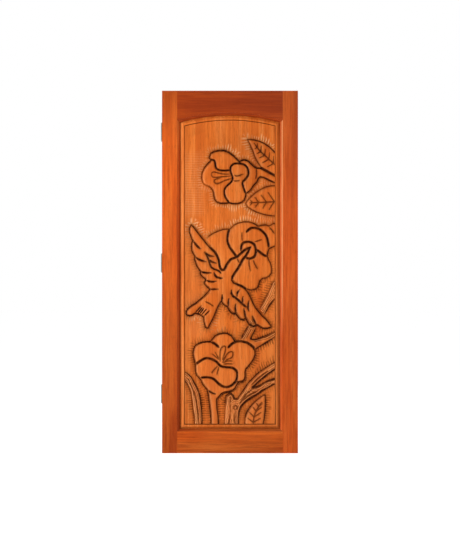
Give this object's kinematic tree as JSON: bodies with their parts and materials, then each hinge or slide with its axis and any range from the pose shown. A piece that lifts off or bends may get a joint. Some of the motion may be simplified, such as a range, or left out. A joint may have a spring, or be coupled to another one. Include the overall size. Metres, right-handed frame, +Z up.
{
  "type": "carved exterior door",
  "caption": "Hinged stile-and-rail exterior door leaf with an arched top rail and one tall panel carved in relief with hibiscus flowers, leaves and a hummingbird.",
  "frame": {"origin": "Middle of the leaf's lower edge, at half its thickness.", "axes": "+Z up the leaf, +X across it from the hinge stile to the lock stile, +Y from the carved face to the back."},
  "size_m": [0.7705, 0.0589, 2.032],
  "materials": {
    "stile_wood": "satin varnish",
    "rail_wood": "satin varnish",
    "panel_wood": "satin varnish with dark glaze in the cuts",
    "dowel_wood": "bare beech",
    "hinge_metal": "satin stainless steel"
  },
  "bodies": {
    "jamb_side": {"upper_hinge_jamb_leaf": "hinge_metal", "middle_hinge_jamb_leaf": "hinge_metal", "lower_hinge_jamb_leaf": "hinge_metal", "upper_hinge_pin": "hinge_metal", "middle_hinge_pin": "hinge_metal", "lower_hinge_pin": "hinge_metal"},
    "door_leaf": {"hinge_stile": "stile_wood", "lock_stile": "stile_wood", "top_rail": "rail_wood", "bottom_rail": "rail_wood", "carved_panel": "panel_wood", "top_rail_dowels": "dowel_wood", "bottom_rail_dowels": "dowel_wood", "upper_hinge_door_leaf": "hinge_metal", "middle_hinge_door_leaf": "hinge_metal", "lower_hinge_door_leaf": "hinge_metal", "upper_hinge_screws": "hinge_metal", "middle_hinge_screws": "hinge_metal", "lower_hinge_screws": "hinge_metal"}
  },
  "joints": [
    {"name": "door_swing", "type": "hinge", "parent": "jamb_side", "child": "door_leaf", "pos_m": [-0.3825, 0.02965, 1.0665], "axis": [0, 0, 1], "range_deg": [0, 110]}
  ]
}
